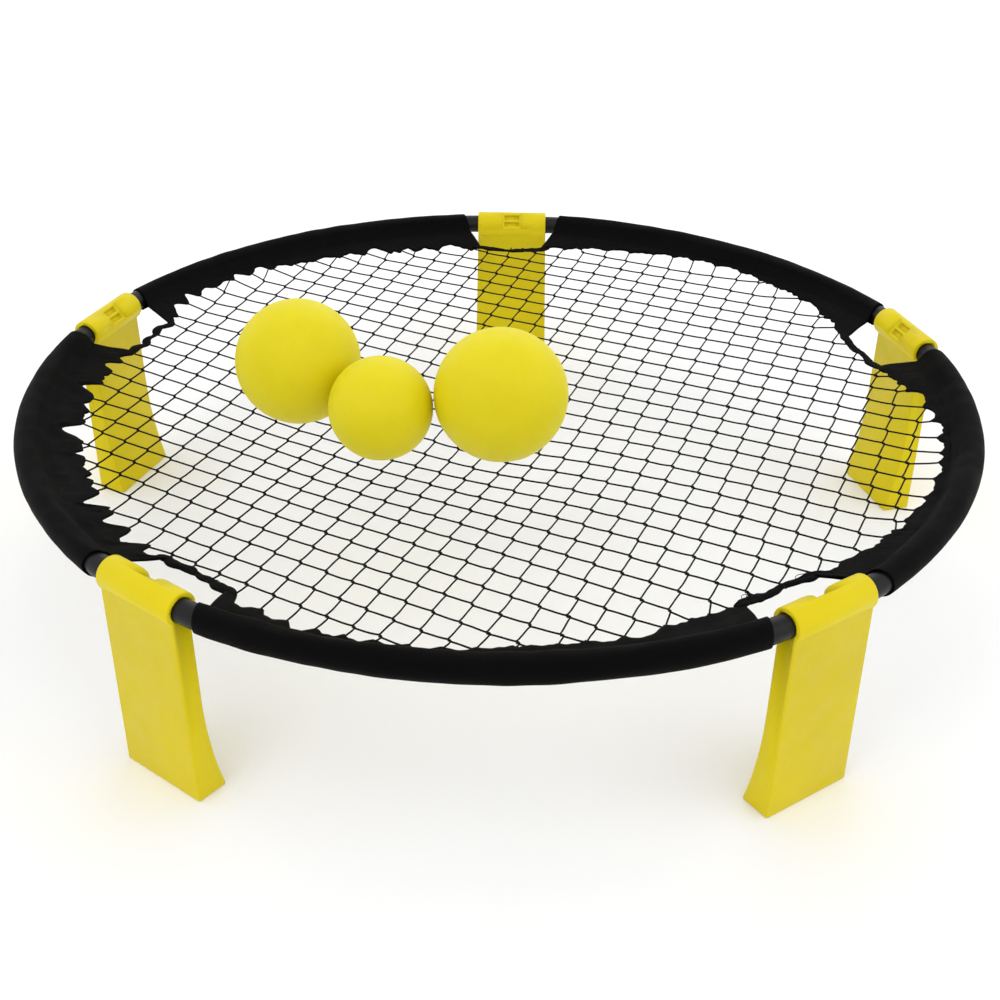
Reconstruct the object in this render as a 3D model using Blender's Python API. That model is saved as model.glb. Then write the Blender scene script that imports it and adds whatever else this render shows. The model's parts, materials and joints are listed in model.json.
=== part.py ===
"""Roundnet set: a ring of five bent tubes on five folding legs, with a stretched net and three balls.

Metres, +Z up. The origin lies on the ground under the middle of the ring, and one leg stands on +Y.
Every leg is the same moulding turned by a fifth of a circle, and so is every tube, sleeve and strap.
"""

import math

import bmesh
import bpy
from mathutils import Matrix, Vector

# Driving dimensions
LEG_COUNT = 5
FIRST_LEG_DEG = 90.0
RING_RADIUS = 0.440  # tube centreline, midway between two legs
RIM_HEIGHT = 0.185  # tube centreline above the ground
GAP = 0.0003  # left between neighbouring solids

TUBE_RADIUS = 0.010
TUBE_WALL = 0.0012
TUBE_SIDES = 12
BEND_DEG = 9.4  # sharper bend on each side of a leg, between its socket and the long arc
BEND_RADIUS = 0.130

LEG_TOP_WIDTH = 0.082
LEG_FOOT_WIDTH = 0.088
COLLAR_RADIUS = 0.0145
SOCKET_RADIUS = TUBE_RADIUS + 0.0005
SOCKET_FLOOR = 0.0135  # from the middle of the leg to the end of each socket
COLLAR_SIDES = 40
COLLAR_ROUNDING = 0.001
SOCKET_SIDES = 24
PANEL_TOP = 0.004  # top of the flat panel, below the tube axis and inside the collar
PANEL_OUTER = 0.0115  # outer face, outboard of the tube axis
FOOT_OUTER = 0.0095
PANEL_INNER = 0.0075  # inner face, inboard of the tube axis
FOOT_INNER = 0.0200
FLARE_HEIGHT = 0.095  # the inner face curves inward below this height
FLARE_STEPS = 6
LEG_EDGE = 0.0016  # rounding of the panel's edges
LEG_WALL = 0.0032
CORE_TOP = 0.030  # solid plastic between the tube axis and the top of the cored-out inside
CENTRE_RIB = 0.006

NOTCH_WIDTH = 0.024
NOTCH_FLOOR = 0.0098  # from the tube axis
NOTCH_CORNER = 0.003
POCKET_WIDTH = 0.018
POCKET_FLOOR = 0.0062
POCKET_LENGTH = 0.0062
POCKET_RIB = 0.0026

SLEEVE_START = 0.058  # along the rim from the middle of a leg to the end of the casing
CASING_INNER = 0.0108
CASING_OUTER = 0.0125
CASING_POINTS = 12
CASING_DEG = (213.0, 537.0)  # round the tube, open on the inboard side where the band starts
BAND_THICKNESS = 0.0016
BAND_ROOT = 0.022  # inboard of the tube axis, where the casing has narrowed to the flat band
NET_EDGE_RADIUS = 0.388
NET_HEIGHT = 0.172  # middle of the net at its edge
NET_THICKNESS = 0.003
NET_SIDES = 60
NET_RINGS = 11
NET_SAG = 0.016  # how far the stretched net gives under the weight of the balls
NET_SOFTENING = 0.035  # radius over which a ball's weight rounds off the dip
STRAP_HALF_DEG = 5.2
STRAP_STEPS = 6
STRAP_WIDTH = 0.010
STRAP_THICKNESS = 0.003

BALL_WALL = 0.0016
BALL_SIDES = 30
BALL_STEPS = 14
LINING_STEPS = 9
VALVE_RADIUS = 0.0035
VALVE_DEPTH = 0.006
VALVE_SIDES = 16
VALVE_CAP = ((0.0046, 0.0), (0.0042, 0.0007), (0.0, 0.0010))  # radius, height above the ball
# name, x, y, radius, direction of the valve as azimuth and elevation in degrees
BALLS = (
    ("left", -0.1923, -0.0116, 0.0596, 120.0, 35.0),
    ("middle", -0.1069, -0.0780, 0.0482, 100.0, 25.0),
    ("right", 0.0034, -0.0713, 0.0619, 70.0, 30.0),
)
SMOOTH_DEG = 35.0  # edges sharper than this stay sharp

HALF_SECTOR = math.pi / LEG_COUNT
BEND = math.radians(BEND_DEG)
SOCKET_STRAIGHT = LEG_TOP_WIDTH / 2 + 0.0005
ARC_RADIUS = (
    RING_RADIUS * math.sin(HALF_SECTOR) - SOCKET_STRAIGHT - BEND_RADIUS * math.sin(BEND)
) / (math.sin(HALF_SECTOR) - math.sin(BEND))
ARC_HALF = ARC_RADIUS * (HALF_SECTOR - BEND)
BEND_LENGTH = BEND_RADIUS * BEND
RIM_HALF = ARC_HALF + BEND_LENGTH + SOCKET_STRAIGHT
ARC_STEPS = 10


def clear_scene():
    for obj in list(bpy.data.objects):
        bpy.data.objects.remove(obj, do_unlink=True)


def make_material(name, colour, roughness, metallic=0.0):
    material = bpy.data.materials.new(name)
    material.use_nodes = True
    shader = material.node_tree.nodes["Principled BSDF"]
    shader.inputs["Base Color"].default_value = (*colour, 1.0)
    shader.inputs["Roughness"].default_value = roughness
    shader.inputs["Metallic"].default_value = metallic
    return material


def mesh_from(name, points, faces):
    mesh = bpy.data.meshes.new(name)
    mesh.from_pydata([tuple(point) for point in points], [], faces)
    mesh.validate()
    bm = bmesh.new()
    bm.from_mesh(mesh)
    bmesh.ops.recalc_face_normals(bm, faces=bm.faces)
    bm.to_mesh(mesh)
    bm.free()
    return mesh


def place(name, mesh, material, location=(0, 0, 0), turn=0.0):
    mesh.shade_smooth()
    mesh.set_sharp_from_angle(angle=math.radians(SMOOTH_DEG))
    obj = bpy.data.objects.new(name, mesh)
    obj.location = location
    obj.rotation_euler.z = turn
    bpy.context.scene.collection.objects.link(obj)
    mesh.materials.clear()
    mesh.materials.append(material)
    return obj


def leg_angle(index):
    return math.radians(FIRST_LEG_DEG) + 2 * HALF_SECTOR * index


# The rim, with the middle of one tube on +X


def rim_at(length):
    """Point of the rim and its outward direction, at this distance along the rim from mid-tube."""
    side = math.copysign(1.0, length)
    run = abs(length)
    heading = min(run, ARC_HALF) / ARC_RADIUS
    outward = Vector((math.cos(heading), math.sin(heading), 0))
    point = Vector((RING_RADIUS - ARC_RADIUS, 0, 0)) + ARC_RADIUS * outward
    if run > ARC_HALF:
        centre = point - BEND_RADIUS * outward
        heading += min(run - ARC_HALF, BEND_LENGTH) / BEND_RADIUS
        outward = Vector((math.cos(heading), math.sin(heading), 0))
        point = centre + BEND_RADIUS * outward
    straight = max(0.0, run - ARC_HALF - BEND_LENGTH)
    point += straight * Vector((-outward.y, outward.x, 0))
    mirror = Vector((1, side, 1))
    return point * mirror, outward * mirror


LEG_APOTHEM = rim_at(RIM_HALF)[0].length


def rim_stations(beyond):
    """Distances along the rim, with these distances added at both ends."""
    ends = [RIM_HALF - distance for distance in beyond]
    arc = [ARC_HALF * (2 * step / ARC_STEPS - 1) for step in range(ARC_STEPS + 1)]
    return [-end for end in reversed(ends)] + arc + ends


def circle(radius, count, start=0.0, stop=2 * math.pi, closed=True):
    steps = count if closed else count - 1
    angles = [start + (stop - start) * step / steps for step in range(count)]
    return [(radius * math.cos(angle), radius * math.sin(angle)) for angle in angles]


def ring_faces(first, second):
    """Quads between two closed loops of point numbers."""
    count = len(first)
    return [
        (first[i], first[(i + 1) % count], second[(i + 1) % count], second[i])
        for i in range(count)
    ]


def make_tube_mesh():
    outer = circle(TUBE_RADIUS, TUBE_SIDES)
    inner = circle(TUBE_RADIUS - TUBE_WALL, TUBE_SIDES)
    beyond = [SLEEVE_START, (SLEEVE_START + SOCKET_STRAIGHT) / 2, SOCKET_STRAIGHT]
    stations = rim_stations(beyond + [SOCKET_FLOOR + 2 * GAP])
    points, faces, loops = [], [], []
    for length in stations:
        centre, outward = rim_at(length)
        centre.z = RIM_HEIGHT
        pair = []
        for section in (outer, inner):
            pair.append(list(range(len(points), len(points) + TUBE_SIDES)))
            points += [centre + x * outward + Vector((0, 0, z)) for x, z in section]
        loops.append(pair)
    for (outer_a, inner_a), (outer_b, inner_b) in zip(loops, loops[1:]):
        faces += ring_faces(outer_a, outer_b) + ring_faces(inner_a, inner_b)
    for outer_end, inner_end in (loops[0], loops[-1]):
        faces += ring_faces(outer_end, inner_end)
    return mesh_from("rim_tube", points, faces)


# Fabric: casing round the tube, flat band to the net, strap across each leg


def sleeve_section(length):
    """Outer loop and tube hole of the sleeve at one station, as world points."""
    centre, outward = rim_at(length)
    azimuth = math.atan2(centre.y, centre.x)
    last = rim_at(RIM_HALF - SLEEVE_START)[0]
    reach = (HALF_SECTOR - math.radians(STRAP_HALF_DEG)) / math.atan2(last.y, last.x)
    centre.z = RIM_HEIGHT
    up = Vector((0, 0, 1))

    def wrap(radius):
        start, stop = (math.radians(angle) for angle in CASING_DEG)
        loop = circle(radius, CASING_POINTS, start, stop, closed=False)
        return [centre + x * outward + z * up for x, z in loop]

    edge_azimuth = azimuth * reach
    edge = NET_EDGE_RADIUS * Vector((math.cos(edge_azimuth), math.sin(edge_azimuth), 0))
    edge.z = NET_HEIGHT
    share = BAND_ROOT / (RING_RADIUS - NET_EDGE_RADIUS)
    root = centre.lerp(edge, share)
    half = BAND_THICKNESS / 2 * up
    band = [edge + half, edge - half, root - half, root + half]
    top_first = [band[3], band[0], band[1], band[2]]
    return wrap(CASING_OUTER) + top_first, wrap(CASING_INNER)


def make_sleeve_mesh():
    points, faces, loops = [], [], []
    for length in rim_stations([SLEEVE_START]):
        pair = []
        for section in sleeve_section(length):
            pair.append(list(range(len(points), len(points) + len(section))))
            points += section
        loops.append(pair)
    for (outer_a, inner_a), (outer_b, inner_b) in zip(loops, loops[1:]):
        faces += ring_faces(outer_a, outer_b) + ring_faces(inner_a, inner_b)
    last = CASING_POINTS - 1
    for outer, inner in (loops[0], loops[-1]):
        faces += [(outer[i], outer[i + 1], inner[i + 1], inner[i]) for i in range(last)]
        root_top, edge_top, edge_bottom, root_bottom = outer[CASING_POINTS:]
        faces.append((outer[last], outer[0], inner[0], inner[last]))
        faces.append((outer[last], root_top, root_bottom, outer[0]))
        faces.append((root_top, edge_top, edge_bottom, root_bottom))
    return mesh_from("sleeve", points, faces)


def make_strap_mesh():
    inside = NET_EDGE_RADIUS
    outside = inside + STRAP_WIDTH
    low = NET_HEIGHT - STRAP_THICKNESS / 2
    high = NET_HEIGHT + STRAP_THICKNESS / 2
    half = math.radians(STRAP_HALF_DEG) - GAP / NET_EDGE_RADIUS
    points, faces, loops = [], [], []
    for step in range(STRAP_STEPS + 1):
        angle = half * (2 * step / STRAP_STEPS - 1)
        along = Vector((math.cos(angle), math.sin(angle), 0))
        loops.append(list(range(len(points), len(points) + 4)))
        for radius, height in ((inside, low), (outside, low), (outside, high), (inside, high)):
            points.append(radius * along + Vector((0, 0, height)))
    for first, second in zip(loops, loops[1:]):
        faces += ring_faces(first, second)
    faces += [tuple(loops[0]), tuple(loops[-1])]
    return mesh_from("edge_strap", points, faces)


def net_height(x, y):
    """Middle of the net: a membrane held at its round edge that gives under each ball in turn."""
    edge, soft = NET_EDGE_RADIUS**2, NET_SOFTENING**2
    total = sum(radius**2 for _, _, _, radius, _, _ in BALLS)
    dip = 0.0
    for _, ball_x, ball_y, radius, _, _ in BALLS:
        near = (x - ball_x) ** 2 + (y - ball_y) ** 2 + soft
        dot = ball_x * x + ball_y * y
        far = edge - 2 * dot + (ball_x**2 + ball_y**2) * (x**2 + y**2) / edge + soft
        dip += radius**2 / total * math.log(far / near) / 2
    return NET_HEIGHT - NET_SAG * dip


def make_net_mesh():
    points, loops, faces = [], [], []
    for side in (1, -1):
        for ring in range(NET_RINGS + 1):
            radius = (NET_EDGE_RADIUS - 4 * GAP) * ring / NET_RINGS
            around = circle(radius, NET_SIDES) if ring else [(0.0, 0.0)]
            loops.append(list(range(len(points), len(points) + len(around))))
            points += [(x, y, net_height(x, y) + side * NET_THICKNESS / 2) for x, y in around]
    top, bottom = loops[: NET_RINGS + 1], loops[NET_RINGS + 1 :]
    for skin in (top, bottom):
        pole, first = skin[0][0], skin[1]
        faces += [(pole, first[i], first[(i + 1) % NET_SIDES]) for i in range(NET_SIDES)]
        for inner, outer in zip(skin[1:], skin[2:]):
            faces += ring_faces(inner, outer)
    faces += ring_faces(top[-1], bottom[-1])
    return mesh_from("net", points, faces)


# Leg, with the tube axis along Y through its origin and +X outboard


def panel_profile(inset=0.0):
    """Side view of the panel, as (outboard, up) points from the top of the outer face round."""
    foot = -RIM_HEIGHT
    top = -CORE_TOP if inset else -PANEL_TOP
    outline = [(PANEL_OUTER - inset, top), (FOOT_OUTER - inset, foot)]
    for step in range(FLARE_STEPS + 1):
        height = FLARE_HEIGHT * step / FLARE_STEPS
        flare = (FOOT_INNER - PANEL_INNER) * (1 - height / FLARE_HEIGHT) ** 2
        outline.append((-(PANEL_INNER + flare) + inset, foot + height))
    outline.append((-PANEL_INNER + inset, top))
    return outline


def half_width_at(height):
    """Half the width of the leg at this height above the tube axis."""
    share = -height / RIM_HEIGHT
    return (LEG_TOP_WIDTH + (LEG_FOOT_WIDTH - LEG_TOP_WIDTH) * share) / 2


def prism(name, near, far):
    """Closed solid between two outlines of as many points."""
    count = len(near)
    first, second = list(range(count)), list(range(count, 2 * count))
    faces = ring_faces(first, second) + [tuple(first), tuple(second)]
    mesh = mesh_from(name, list(near) + list(far), faces)
    obj = bpy.data.objects.new(name, mesh)
    bpy.context.scene.collection.objects.link(obj)
    return obj


def make_panel():
    profile = panel_profile()
    near = [Vector((x, -half_width_at(z), z)) for x, z in profile]
    far = [Vector((x, half_width_at(z), z)) for x, z in profile]
    panel = prism("panel", near, far)
    bevel = panel.modifiers.new("soft edges", "BEVEL")
    bevel.width = LEG_EDGE
    bevel.segments = 2
    bevel.angle_limit = math.radians(40)
    return panel


def make_core(side):
    """Cutter for one of the two hollows that open under the foot."""
    outline = panel_profile(LEG_WALL)
    below = -RIM_HEIGHT - 0.010
    outline[1] = (outline[1][0], below)
    outline.insert(2, (outline[2][0], below))
    rib = [Vector((x, side * CENTRE_RIB / 2, z)) for x, z in outline]
    wall = [Vector((x, side * (half_width_at(z) - LEG_WALL), z)) for x, z in outline]
    return prism("core", rib, wall)


def make_cylinder(name, radius, low, high, sides, rounding=0.0):
    """Cylinder along Y, from low to high."""
    bm = bmesh.new()
    turned = Matrix.Translation((0, (low + high) / 2, 0)) @ Matrix.Rotation(math.pi / 2, 4, "X")
    bmesh.ops.create_cone(
        bm, cap_ends=True, segments=sides, radius1=radius, radius2=radius, depth=high - low, matrix=turned
    )
    if rounding:
        rims = [edge for edge in bm.edges if abs(edge.verts[0].co.y - edge.verts[1].co.y) < 1e-6]
        bmesh.ops.bevel(bm, geom=rims, offset=rounding, segments=2, profile=0.5, affect="EDGES")
    mesh = bpy.data.meshes.new(name)
    bm.to_mesh(mesh)
    bm.free()
    obj = bpy.data.objects.new(name, mesh)
    bpy.context.scene.collection.objects.link(obj)
    return obj


def notch_point(across, away, along):
    """Leg point from its distance across the leg, away from the tube axis, and along the notch."""
    diagonal = math.sqrt(0.5)
    return Vector(((along - away) * diagonal, across, (along + away) * diagonal))


def make_notch():
    """Cutter for the relief in the inner upper quarter of the collar, with rounded shoulders."""
    half = NOTCH_WIDTH / 2
    outline = [(half, NOTCH_FLOOR)]
    for step in range(4):
        angle = math.pi - math.pi / 2 * step / 3
        across = half + NOTCH_CORNER * (1 + math.cos(angle))
        outline.append((across, COLLAR_RADIUS + NOTCH_CORNER * (math.sin(angle) - 1)))
    outline.append((half + NOTCH_CORNER, 2 * COLLAR_RADIUS))
    outline += [(-across, away) for across, away in reversed(outline)]
    reach = 2 * COLLAR_RADIUS
    near = [notch_point(across, away, -reach) for across, away in outline]
    far = [notch_point(across, away, reach) for across, away in outline]
    return prism("notch", near, far)


def make_pocket(side):
    """Cutter for one of the two pockets in the floor of the notch."""
    low, high = side * POCKET_RIB / 2, side * (POCKET_RIB / 2 + POCKET_LENGTH)
    half = POCKET_WIDTH / 2
    outline = [(-half, low), (half, low), (half, high), (-half, high)]
    near = [notch_point(across, POCKET_FLOOR, along) for across, along in outline]
    far = [notch_point(across, COLLAR_RADIUS, along) for across, along in outline]
    return prism("pocket", near, far)


def combine(body, tool, operation):
    boolean = body.modifiers.new(tool.name, "BOOLEAN")
    boolean.object = tool
    boolean.operation = operation
    boolean.solver = "EXACT"
    tool.hide_render = True
    tool.display_type = "WIRE"


def make_leg_mesh():
    leg = make_panel()
    half = LEG_TOP_WIDTH / 2
    collar = make_cylinder("collar", COLLAR_RADIUS, -half, half, COLLAR_SIDES, COLLAR_ROUNDING)
    tools = [make_core(-1), make_core(1), make_notch(), make_pocket(-1), make_pocket(1)]
    for side in (-1, 1):
        low, high = sorted((side * SOCKET_FLOOR, side * LEG_TOP_WIDTH))
        tools.append(make_cylinder("socket", SOCKET_RADIUS, low, high, SOCKET_SIDES))
    combine(leg, collar, "UNION")
    for tool in tools:
        combine(leg, tool, "DIFFERENCE")
    bpy.context.view_layer.update()
    evaluated = leg.evaluated_get(bpy.context.evaluated_depsgraph_get())
    mesh = bpy.data.meshes.new_from_object(evaluated)
    for helper in [leg, collar] + tools:
        bpy.data.objects.remove(helper, do_unlink=True)
    return mesh


# Balls


def turned_mesh(name, profile, sides):
    """Solid of revolution about Z from (radius, height) points; a radius of 0 is a pole."""
    points, loops, faces = [], [], []
    for radius, height in profile:
        count = sides if radius else 1
        loops.append(list(range(len(points), len(points) + count)))
        ring = circle(radius, sides) if radius else [(0.0, 0.0)]
        points += [Vector((x, y, height)) for x, y in ring]
    for first, second in zip(loops, loops[1:]):
        if len(first) == sides and len(second) == sides:
            faces += ring_faces(first, second)
            continue
        pole, ring = (first[0], second) if len(first) == 1 else (second[0], first)
        faces += [(pole, ring[i], ring[(i + 1) % sides]) for i in range(sides)]
    if profile[0][0] and profile[-1][0]:
        faces += ring_faces(loops[-1], loops[0])
    return mesh_from(name, points, faces)


def sphere_profile(radius, hole, steps):
    start = math.asin(hole / radius)
    angles = [start + (math.pi - start) * step / steps for step in range(steps)]
    return [(radius * math.sin(angle), radius * math.cos(angle)) for angle in angles] + [(0, -radius)]


def make_ball_mesh(radius):
    """Hollow shell with the hole for its valve on +Z."""
    hole = VALVE_RADIUS + GAP
    outer = sphere_profile(radius, hole, BALL_STEPS)
    inner = sphere_profile(radius - BALL_WALL, hole, LINING_STEPS)
    shell = turned_mesh("ball", outer, BALL_SIDES)
    bm = bmesh.new()
    bm.from_mesh(shell)
    lining = turned_mesh("lining", inner, BALL_SIDES)
    bm.from_mesh(lining)
    bm.verts.ensure_lookup_table()
    rims = [edge for edge in bm.edges if edge.is_boundary]
    bmesh.ops.bridge_loops(bm, edges=rims)
    bmesh.ops.recalc_face_normals(bm, faces=bm.faces)
    bm.to_mesh(shell)
    bm.free()
    return shell


def make_valve_mesh(radius):
    """Rubber plug: a stem through the shell and a low domed cap on it."""
    stem_end = radius - VALVE_DEPTH
    cap = radius + GAP
    profile = [(0, stem_end), (VALVE_RADIUS, stem_end), (VALVE_RADIUS, cap)]
    profile += [(across, cap + height) for across, height in VALVE_CAP]
    return turned_mesh("valve", profile, VALVE_SIDES)


def resting_height(x, y, radius):
    """Height of a ball's centre when it lies on the dipped net here."""
    highest = 0.0
    for ring in range(13):
        share = 0.05 * ring
        for across, along in circle(share * radius, NET_SIDES):
            bulge = radius * math.sqrt(1 - share**2)
            highest = max(highest, net_height(x + across, y + along) + bulge)
    return highest + NET_THICKNESS / 2 + 2 * GAP


def make_ball(name, x, y, radius, azimuth_deg, elevation_deg, vinyl, rubber):
    centre = (x, y, resting_height(x, y, radius))
    azimuth, elevation = math.radians(azimuth_deg), math.radians(elevation_deg)
    level = math.cos(elevation)
    aim = Vector((level * math.cos(azimuth), level * math.sin(azimuth), math.sin(elevation)))
    turn = aim.to_track_quat("Z", "Y").to_euler()
    ball = place(f"ball_{name}", make_ball_mesh(radius), vinyl, centre)
    valve = place(f"ball_valve_{name}", make_valve_mesh(radius), rubber, centre)
    ball.rotation_euler = turn
    valve.rotation_euler = turn


def main():
    clear_scene()
    yellow = make_material("leg_yellow", (0.80, 0.62, 0.02), 0.42)
    painted = make_material("rim_black", (0.025, 0.026, 0.030), 0.35, 0.4)
    fabric = make_material("sleeve_black", (0.012, 0.012, 0.013), 0.85)
    cord = make_material("net_black", (0.010, 0.010, 0.011), 0.80)
    vinyl = make_material("ball_yellow", (0.82, 0.66, 0.03), 0.45)
    rubber = make_material("valve_black", (0.03, 0.03, 0.03), 0.60)

    leg_mesh = make_leg_mesh()
    tube_mesh = make_tube_mesh()
    sleeve_mesh = make_sleeve_mesh()
    strap_mesh = make_strap_mesh()
    for index in range(LEG_COUNT):
        angle = leg_angle(index)
        label = index + 1
        hinge = (LEG_APOTHEM * math.cos(angle), LEG_APOTHEM * math.sin(angle), RIM_HEIGHT)
        place(f"leg_{label}", leg_mesh, yellow, hinge, angle)
        place(f"edge_strap_{label}", strap_mesh, fabric, turn=angle)
        place(f"rim_tube_{label}", tube_mesh, painted, turn=angle + HALF_SECTOR)
        place(f"sleeve_{label}", sleeve_mesh, fabric, turn=angle + HALF_SECTOR)
    place("net", make_net_mesh(), cord)
    for ball in BALLS:
        make_ball(*ball, vinyl, rubber)


main()
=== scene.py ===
"""Looks of the roundnet set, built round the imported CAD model. Metres, +Z up, the row frame throughout.

The legs and valves stay the CAD solids. The tubes, fabric sleeves, edge straps, knotted net and
balls are modelled here in the places that their CAD solids hold.
"""

import json
import math

import bpy
import numpy as np
from mathutils import Matrix, Vector


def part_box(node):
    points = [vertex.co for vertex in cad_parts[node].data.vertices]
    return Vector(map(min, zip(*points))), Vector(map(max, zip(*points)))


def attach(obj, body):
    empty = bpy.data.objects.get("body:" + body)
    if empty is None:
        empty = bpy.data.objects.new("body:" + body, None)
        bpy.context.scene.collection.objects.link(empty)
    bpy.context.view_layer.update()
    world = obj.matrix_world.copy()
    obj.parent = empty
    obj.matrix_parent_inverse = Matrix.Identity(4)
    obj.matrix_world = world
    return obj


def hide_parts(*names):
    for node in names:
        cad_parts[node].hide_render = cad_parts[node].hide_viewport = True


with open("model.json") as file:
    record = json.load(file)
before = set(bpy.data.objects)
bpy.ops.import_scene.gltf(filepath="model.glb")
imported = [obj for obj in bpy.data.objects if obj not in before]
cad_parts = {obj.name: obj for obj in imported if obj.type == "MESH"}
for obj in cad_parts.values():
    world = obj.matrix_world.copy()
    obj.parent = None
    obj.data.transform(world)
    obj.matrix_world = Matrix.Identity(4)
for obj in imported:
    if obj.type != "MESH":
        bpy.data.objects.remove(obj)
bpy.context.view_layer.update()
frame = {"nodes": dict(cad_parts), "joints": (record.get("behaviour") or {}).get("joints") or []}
JOINTS = {joint["name"]: joint for joint in frame["joints"]}
RNG = np.random.default_rng(11)

# Ring, as in the CAD model
LEG_COUNT = 5
HALF_SECTOR = math.pi / LEG_COUNT
FIRST_LEG = math.pi / 2
RING_RADIUS = 0.440
RIM_HEIGHT = JOINTS["leg_1_fold"]["pos_m"][2]
TUBE_RADIUS = 0.010
TUBE_WALL = 0.0012
TUBE_SIDES = 40
TUBE_STATIONS = 120
BEND = math.radians(9.4)
BEND_RADIUS = 0.130
SOCKET_STRAIGHT = 0.0415
SOCKET_FLOOR = 0.0141
SLEEVE_START = 0.058
ARC_RADIUS = (
    RING_RADIUS * math.sin(HALF_SECTOR) - SOCKET_STRAIGHT - BEND_RADIUS * math.sin(BEND)
) / (math.sin(HALF_SECTOR) - math.sin(BEND))
ARC_HALF = ARC_RADIUS * (HALF_SECTOR - BEND)
BEND_LENGTH = BEND_RADIUS * BEND
RIM_HALF = ARC_HALF + BEND_LENGTH + SOCKET_STRAIGHT
SLEEVE_HALF = RIM_HALF - SLEEVE_START

# Net, as in the CAD model
NET_EDGE = 0.388
NET_HEIGHT = 0.172
NET_SAG = 0.016
NET_SOFTENING = 0.035
STRAP_HALF = math.radians(5.2)

# Balls
BALL_SEAM_WIDTH = 0.0007
BALL_SEAM_HEIGHT = 0.00012
BALL_DIMPLE_RADIUS = 0.0055
BALL_DIMPLE_DEPTH = 0.0004

# Knotted mesh
MESH_FIRST = (0.0235, -0.0123)  # from one knot to the next along each family of strands
MESH_SECOND = (0.0070, 0.0250)
MESH_ORIGIN = (0.0069, 0.0017)
MESH_BOW = ((-0.12, 0.09, 0.005), (-0.06, 0.08, -0.045))  # bow of the strands, mm per bar squared
CORD_RADIUS = 0.00078
KNOT_LENGTH = 0.0038
KNOT_ANGLE = math.radians(-57)
END_SLIP = 0.0026  # how far strand ends wander along the edge
SHARED_HOLE = 0.0085  # ends closer than this leave the cloth at one point
END_TUCK = 0.004  # how far strands run on into the cloth
RELAX_STEPS = 160

# Sleeve cloth
CLOTH = 0.0007
CASING = 0.0117
SEAM = 0.0165
DEEPEST_EDGE = 0.4195  # the cloth never draws back further than this from the net's middle
DEEPEST_BAY = 0.019  # and never by more than this between two strands
CLOSED_GAPS = 0.42  # share of the gaps between strands that lobes of cloth close on the -X side
# For each sleeve, how far its inner edge draws back, to which side, and how abruptly
SLEEVE_BAYS = (
    (0.022, 0.45, 1.3),
    (0.006, -0.3, 0.8),
    (0.021, -0.42, 1.3),
    (0.025, 0.0, 1.0),
    (0.024, -0.1, 1.0),
)
SLEEVE_STATIONS = 230
BAND_POINTS = 12  # of a sleeve's section, on each face of its band from hem to seam
ROUND_POINTS = 34  # and round the tube
HEM_POINT = 3  # counted from the hem, where its stitches run
STITCH_PITCH = 0.0042
STITCH_LENGTH = 0.0029
STITCH_RADIUS = 0.00026
LOOSE_THREAD_RADIUS = 0.00028

# Straps
STRAP_OVERLAP = 0.028  # radians that a strap runs on under the sleeve at each end
STRAP_CLOTH = 0.011  # the strip's width, laid flat
STRAP_SIDES = 22
STRAP_STATIONS = 110
THREAD_LEGS = (1, 2, 3, 4)  # the legs beside whose straps thread has come loose


def unit(angle):
    return np.array([math.cos(angle), math.sin(angle), 0.0])


def waves(seed, count, low, high):
    """Smooth noise along a line: frequencies, phases and weights for wave()."""
    rng = np.random.default_rng(seed)
    return rng.uniform(low, high, count), rng.uniform(0, 2 * math.pi, count), rng.normal(0, 1, count)


def wave(parts, along, shift=0.0):
    total = sum(w * np.sin(f * along + p + shift * (i + 1)) for i, (f, p, w) in enumerate(zip(*parts)))
    weight = parts[2]
    return total / math.sqrt((weight**2).sum() / 2 + 1e-9)


# Meshes


def link(name, mesh, material):
    obj = bpy.data.objects.new(name, mesh)
    bpy.context.scene.collection.objects.link(obj)
    mesh.materials.append(material)
    mesh.shade_smooth()
    return obj


def mesh_of(name, points, quads, uv=None):
    """Mesh from an array of points and one of quads, with a UV for each corner's point if given."""
    mesh = bpy.data.meshes.new(name)
    mesh.from_pydata(np.asarray(points).tolist(), [], np.asarray(quads).tolist())
    if uv is not None:
        layer = mesh.uv_layers.new(name="along")
        corners = np.zeros(len(mesh.loops), np.int32)
        mesh.loops.foreach_get("vertex_index", corners)
        layer.data.foreach_set("uv", np.asarray(uv, np.float32)[corners].ravel())
    mesh.update()
    return mesh


def grid_quads(rows, columns, closed_rows=False, closed_columns=False):
    """Quads of a grid of points numbered row by row."""
    last_row = rows if closed_rows else rows - 1
    last_column = columns if closed_columns else columns - 1
    i, j = np.meshgrid(np.arange(last_row), np.arange(last_column), indexing="ij")
    i, j = i.ravel(), j.ravel()
    ni, nj = (i + 1) % rows, (j + 1) % columns
    return np.stack([i * columns + j, i * columns + nj, ni * columns + nj, ni * columns + j], 1)


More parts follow.
